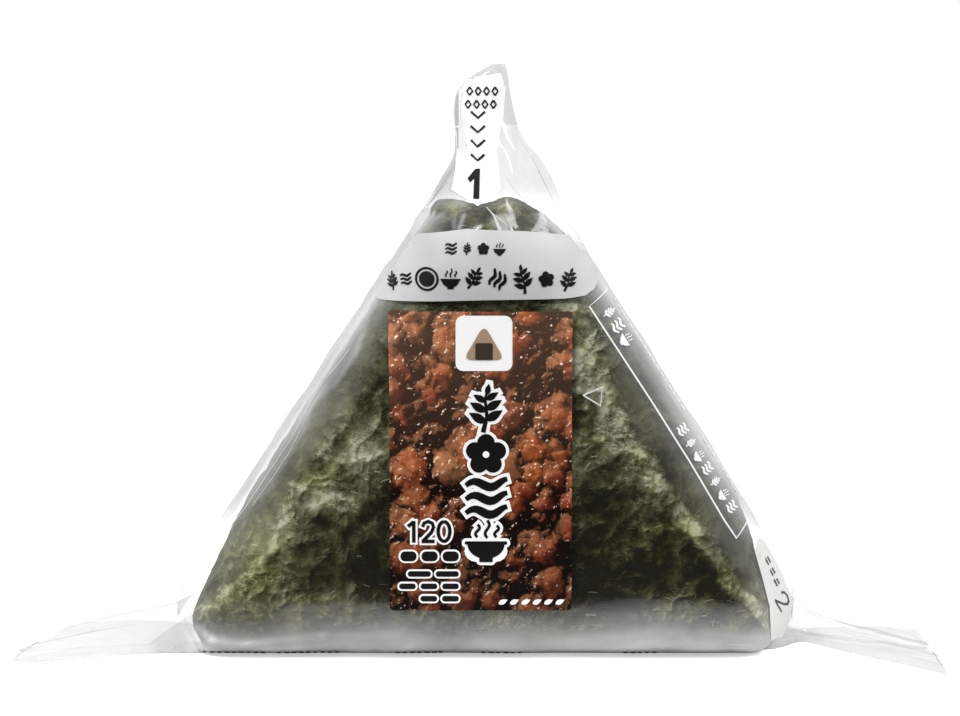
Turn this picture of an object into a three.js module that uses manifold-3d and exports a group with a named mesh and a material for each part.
// A triangular rice ball, wrapped in seaweed and sealed in clear film, standing on its base.
//
// Millimetres, +Z up, +X to the right of the printed front, +Y to its back. The origin is the
// centre of the flat base. The pack is one closed body of film: a pillow-edged triangular
// prism, the gathered crest that carries the tear tab, and one folded film ear at each lower
// corner. The picture label is a thin sticker on the front.

import * as THREE from 'three';
import { mergeVertices } from 'three/addons/utils/BufferGeometryUtils.js';
import Module from 'manifold-3d';

// Driving dimensions of the rice ball in its film
const HALF_THICKNESS = 17;        // middle of the ball to its flat front
const EDGE_ROUND = 9;             // rounding from the front onto the sides
const HEART = [2.15, 29.1];       // centre of the triangle's inscribed circle, x and z
const HEART_RADIUS = 29.1;        // so that an inset by the rounding is a scale about it
const BELT = HALF_THICKNESS - EDGE_ROUND;
const INSET_SCALE = 1 - EDGE_ROUND / HEART_RADIUS;
const ROUND_STEPS = 6;
const CORNER_STEPS = 6;
const SIDE_STEPS = 5;

// Corners of the wrapped ball seen from the front: x, z and how far each is rounded
const BALL_CORNERS = [
  [45.3, 0, 3.6],
  [44.9, 10.4, 4.5],
  [39.3, 25.8, 6],
  [10.6, 69.7, 5.5],
  [-7.4, 69.7, 3.2],
  [-9.6, 64.6, 2],
  [-40.6, 17.4, 4.5],
  [-45.0, 6.6, 4],
  [-44.2, 0, 2.2],
];

// The same corners where the film stands off the ball along the middle of its sides
const SEAM_CORNERS = [
  [48.6, 0, 3],
  [49.6, 8.6, 3],
  [40.4, 24.4, 5],
  [11.2, 70.4, 5.5],
  [-7.8, 70.2, 3.2],
  [-11.3, 64.4, 2],
  [-42.0, 17.6, 4.5],
  [-47.8, 7.2, 3.5],
  [-47.2, 0, 2.2],
];

// Crest of gathered film above the ball: height, left edge, right edge, half depth
const CREST = [
  [57.0, -11.5, 15.0, 14.6],
  [61.5, -11.4, 14.8, 14.9],
  [65.5, -10.6, 14.1, 14.3],
  [69.0, -8.1, 12.4, 12.2],
  [72.5, -5.8, 10.6, 9.4],
  [76.0, -3.8, 8.6, 6.7],
  [79.5, -3.8, 6.0, 4.6],
  [83.0, -4.2, 5.0, 3.1],
  [86.3, -3.6, 4.4, 2.0],
  [88.6, -1.2, 4.1, 1.1],
  [90.2, 1.9, 3.7, 0.5],
];
const CREST_SQUARENESS = 2.6;
const CREST_SIDES = 44;
const CREST_LEVELS = 20;

// Film ears on the table: near corner x, y, far corner x, y, height of the fold, and where
// it runs from the near edge, 0, to the far one, 1
const LEFT_EAR = [
  [-36.0, -6.5, -36.0, 8.5, 13.5, 0.5],
  [-43.0, -8.8, -43.0, 12.5, 8.4, 0.6],
  [-48.9, -9.4, -49.3, 16.2, 4.8, 0.7],
  [-54.0, -10.3, -53.6, 17.2, 4.0, 0.76],
  [-60.0, -12.7, -58.6, 17.0, 2.8, 0.78],
  [-67.4, -16.0, -63.4, 16.2, 1.5, 0.78],
  [-71.6, -15.2, -65.9, 15.4, 0.7, 0.76],
];
const RIGHT_EAR = [
  [38.0, -6.5, 38.0, 8.5, 13.5, 0.5],
  [45.5, -5.8, 45.5, 10.0, 9.2, 0.45],
  [50.4, -0.6, 51.0, 10.6, 6.0, 0.4],
  [54.2, -5.0, 54.8, 11.6, 3.6, 0.5],
  [57.5, -9.7, 59.4, 12.2, 2.2, 0.6],
  [64.6, -18.3, 64.8, 12.0, 1.2, 0.64],
  [69.6, -24.8, 70.2, 10.4, 0.6, 0.66],
];
const FILM_EDGE = 0.6;            // two plies of film, thickened so that the edge is solid
const EAR_ACROSS = 14;
const EAR_ALONG = 18;

// Picture label: a sticker that follows the front with a hairline of air behind it
const LABEL = { left: -13.6, right: 13.8, bottom: 8.3, top: 53.6 };
const LABEL_CORNER = 0.6;
const LABEL_GAP = 0.3;
const LABEL_THICKNESS = 0.35;

const filmMaterial = new THREE.MeshStandardMaterial({
  color: 0x4a5140, roughness: 0.22, metalness: 0,
});
const labelMaterial = new THREE.MeshStandardMaterial({
  color: 0x8a4526, roughness: 0.35, metalness: 0,
});

const wasm = await Module();
wasm.setup();

// Outline through rounded corners, with evenly spaced points along the straight stretches
function roundedOutline(corners) {
  const places = corners.map(([x, z]) => new THREE.Vector2(x, z));
  const points = [];
  corners.forEach(([, , cut], i) => {
    const here = places[i];
    const before = places[(i + corners.length - 1) % corners.length];
    const after = places[(i + 1) % corners.length];
    const start = here.clone().lerp(before, cut / here.distanceTo(before));
    const end = here.clone().lerp(after, cut / here.distanceTo(after));
    const bend = new THREE.QuadraticBezierCurve(start, here, end).getPoints(CORNER_STEPS);
    points.push(...bend);
    const nextCut = corners[(i + 1) % corners.length][2];
    const nextStart = after.clone().lerp(here, nextCut / here.distanceTo(after));
    for (let k = 1; k < SIDE_STEPS; k += 1) {
      points.push(end.clone().lerp(nextStart, k / SIDE_STEPS));
    }
  });
  return points;
}

// Closed body through rings of equal length, with both end rings filled
function loft(rings) {
  const count = rings[0].length;
  const positions = rings.flat().flatMap((p) => [p.x, p.y, p.z]);
  const indices = [];
  for (let r = 0; r + 1 < rings.length; r += 1) {
    for (let k = 0; k < count; k += 1) {
      const a = r * count + k;
      const b = r * count + ((k + 1) % count);
      indices.push(a, b, b + count, a, b + count, a + count);
    }
  }
  for (const [ring, first, flip] of [[rings[0], 0, true],
    [rings[rings.length - 1], (rings.length - 1) * count, false]]) {
    const middle = positions.length / 3;
    const centre = ring.reduce((sum, p) => sum.add(p), new THREE.Vector3());
    centre.divideScalar(count);
    positions.push(centre.x, centre.y, centre.z);
    for (let k = 0; k < count; k += 1) {
      const next = (k + 1) % count;
      const pair = flip ? [first + next, first + k] : [first + k, first + next];
      indices.push(middle, ...pair);
    }
  }
  const geometry = new THREE.BufferGeometry();
  geometry.setAttribute('position', new THREE.Float32BufferAttribute(positions, 3));
  geometry.setIndex(indices);
  return geometry;
}

function toSolid(geometry) {
  const bare = geometry.clone();
  bare.deleteAttribute('normal');
  bare.deleteAttribute('uv');
  const merged = mergeVertices(bare);
  return new wasm.Manifold(new wasm.Mesh({
    numProp: 3,
    vertProperties: new Float32Array(merged.attributes.position.array),
    triVerts: new Uint32Array(merged.index.array),
  }));
}

function toGeometry(solid) {
  const mesh = solid.getMesh();
  const geometry = new THREE.BufferGeometry();
  geometry.setAttribute('position', new THREE.BufferAttribute(mesh.vertProperties, 3));
  geometry.setIndex(new THREE.BufferAttribute(mesh.triVerts, 1));
  geometry.computeVertexNormals();
  return geometry;
}

// Ball in its film, front to back. Each ring is the outline drawn in towards the heart of
// the triangle, and grow swells the whole body evenly.
function pillowPrism(grow) {
  const ball = roundedOutline(BALL_CORNERS);
  const seam = roundedOutline(SEAM_CORNERS);
  const heart = new THREE.Vector2(...HEART);
  const swell = 1 + grow / HEART_RADIUS;
  const ringAt = (outline, scale, y) => outline.map((p) => {
    const q = p.clone().sub(heart).multiplyScalar(scale * swell).add(heart);
    return new THREE.Vector3(q.x, y, q.y);
  });
  const frontRings = [];
  for (let k = 0; k <= ROUND_STEPS; k += 1) {
    const turn = (k / ROUND_STEPS) * (Math.PI / 2);
    const scale = INSET_SCALE + (1 - INSET_SCALE) * Math.cos(turn);
    frontRings.push([scale, BELT + (EDGE_ROUND + grow) * Math.sin(turn)]);
  }
  const back = [...frontRings].reverse().map(([scale, y]) => ringAt(ball, scale, y));
  const front = frontRings.map(([scale, y]) => ringAt(ball, scale, -y));
  return toSolid(loft([...back, ringAt(seam, 1, 0), ...front]));
}

// Smooth value at t, from 0 to 1, through a column of the stations
function through(stations, column, t) {
  const curve = new THREE.CatmullRomCurve3(
    stations.map((row, i) => new THREE.Vector3(i / (stations.length - 1), row[column], 0)),
    false, 'centripetal');
  return curve.getPoint(t).y;
}

function crest() {
  const rings = [];
  for (let level = 0; level <= CREST_LEVELS; level += 1) {
    const t = level / CREST_LEVELS;
    const [z, left, right, depth] = [0, 1, 2, 3].map((column) => through(CREST, column, t));
    const ring = [];
    for (let k = 0; k < CREST_SIDES; k += 1) {
      const turn = (k / CREST_SIDES) * 2 * Math.PI;
      const cos = Math.cos(turn);
      const sin = Math.sin(turn);
      const across = Math.sign(cos) * Math.abs(cos) ** (2 / CREST_SQUARENESS);
      const deep = Math.sign(sin) * Math.abs(sin) ** (2 / CREST_SQUARENESS);
      ring.push(new THREE.Vector3((left + right) / 2 + (across * (right - left)) / 2,
        deep * depth, z));
    }
    rings.push(ring);
  }
  return toSolid(loft(rings));
}

// Ear of folded film: flat underneath, with one soft fold that runs out to its tip
function ear(stations, side) {
  const rings = [];
  for (let step = 0; step <= EAR_ALONG; step += 1) {
    const t = step / EAR_ALONG;
    const [nearX, nearY, farX, farY, height, fold] = [0, 1, 2, 3, 4, 5]
      .map((column) => through(stations, column, t));
    const ring = [];
    for (let k = 0; k <= EAR_ACROSS; k += 1) {
      const u = k / EAR_ACROSS;
      ring.push(new THREE.Vector3(nearX + (farX - nearX) * u, nearY + (farY - nearY) * u, 0));
    }
    for (let k = EAR_ACROSS; k >= 0; k -= 1) {
      const u = k / EAR_ACROSS;
      const slope = u < fold ? u / fold : (1 - u) / (1 - fold);
      const rise = Math.max(0, height - FILM_EDGE) * Math.sin((slope * Math.PI) / 2);
      ring.push(new THREE.Vector3(nearX + (farX - nearX) * u, nearY + (farY - nearY) * u,
        FILM_EDGE + rise));
    }
    rings.push(side < 0 ? ring.reverse() : ring);
  }
  return toSolid(loft(rings));
}

// Column of the label's outline, cut to a skin between two swellings of the ball
function label(front) {
  const { left, right, bottom, top } = LABEL;
  const outline = new THREE.Shape();
  outline.moveTo(left + LABEL_CORNER, bottom);
  outline.lineTo(right - LABEL_CORNER, bottom);
  outline.quadraticCurveTo(right, bottom, right, bottom + LABEL_CORNER);
  outline.lineTo(right, top - LABEL_CORNER);
  outline.quadraticCurveTo(right, top, right - LABEL_CORNER, top);
  outline.lineTo(left + LABEL_CORNER, top);
  outline.quadraticCurveTo(left, top, left, top - LABEL_CORNER);
  outline.lineTo(left, bottom + LABEL_CORNER);
  outline.quadraticCurveTo(left, bottom, left + LABEL_CORNER, bottom);
  const column = new THREE.ExtrudeGeometry(outline, {
    depth: HALF_THICKNESS, bevelEnabled: false, curveSegments: 4,
  });
  column.rotateX(Math.PI / 2);
  column.translate(0, -EDGE_ROUND / 2, 0);
  const outer = pillowPrism(LABEL_GAP + LABEL_THICKNESS);
  return toSolid(column).intersect(outer).subtract(front);
}

function named(name, solid, material) {
  const mesh = new THREE.Mesh(toGeometry(solid), material);
  mesh.name = name;
  return mesh;
}

const pack = pillowPrism(0).add(crest()).add(ear(LEFT_EAR, -1)).add(ear(RIGHT_EAR, 1));

const riceBall = new THREE.Group();
riceBall.add(named('film_wrapper', pack, filmMaterial));
riceBall.add(named('picture_label', label(pillowPrism(LABEL_GAP)), labelMaterial));

export default riceBall;
